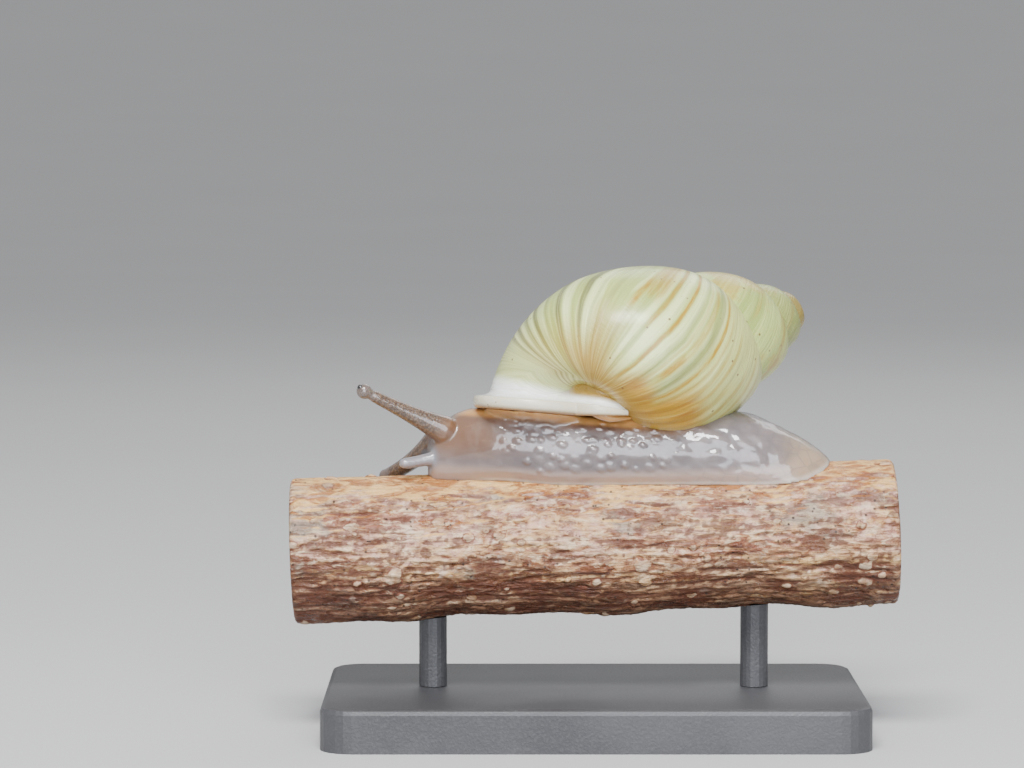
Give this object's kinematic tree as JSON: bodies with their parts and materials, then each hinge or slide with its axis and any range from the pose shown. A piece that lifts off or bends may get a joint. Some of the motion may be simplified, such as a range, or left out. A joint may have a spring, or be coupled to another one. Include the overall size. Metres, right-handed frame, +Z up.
{
  "type": "striped tree snail display model",
  "caption": "Life-size still model of a striped land snail crawling along a cut length of branch, held up by a plain display stand.",
  "frame": {"origin": "centre of the underside of the stand's base", "axes": "+Z up; the snail's head points to -X, its tail to +X; its left side faces -Y"},
  "size_m": [0.0282, 0.015, 0.0216],
  "materials": {
    "shell_body": "glossy, pale green-cream with white, grey-green and ochre streaks along the growth lines",
    "shell_spire": "glossy, olive-straw, browner at the apex",
    "shell_lip": "glossy white",
    "mantle": "moist, orange-brown",
    "head_skin": "moist, pinkish brown",
    "neck_skin": "moist, pinkish brown",
    "foot_skin": "wet, translucent grey-lilac with pebbled skin",
    "tail_skin": "moist, translucent cream-grey",
    "feeler_skin": "moist, grey-brown, finely granular",
    "eye": "glossy black",
    "bark": "dry bark, cream and red-brown",
    "stand": "satin black"
  },
  "bodies": {
    "root": {"shell_body_whorl": "shell_body", "shell_penultimate_whorl": "shell_body", "shell_third_whorl": "shell_spire", "shell_fourth_whorl": "shell_spire", "shell_apex": "shell_spire", "shell_lip": "shell_lip", "mantle_collar": "mantle", "head": "head_skin", "neck": "neck_skin", "foot": "foot_skin", "tail": "tail_skin", "tentacle_upper_left": "feeler_skin", "tentacle_upper_right": "feeler_skin", "tentacle_lower_left": "feeler_skin", "tentacle_lower_right": "feeler_skin", "eye_left": "eye", "eye_right": "eye", "perch": "bark", "stand_base": "stand", "stand_rod_front": "stand", "stand_rod_rear": "stand"}
  },
  "joints": []
}
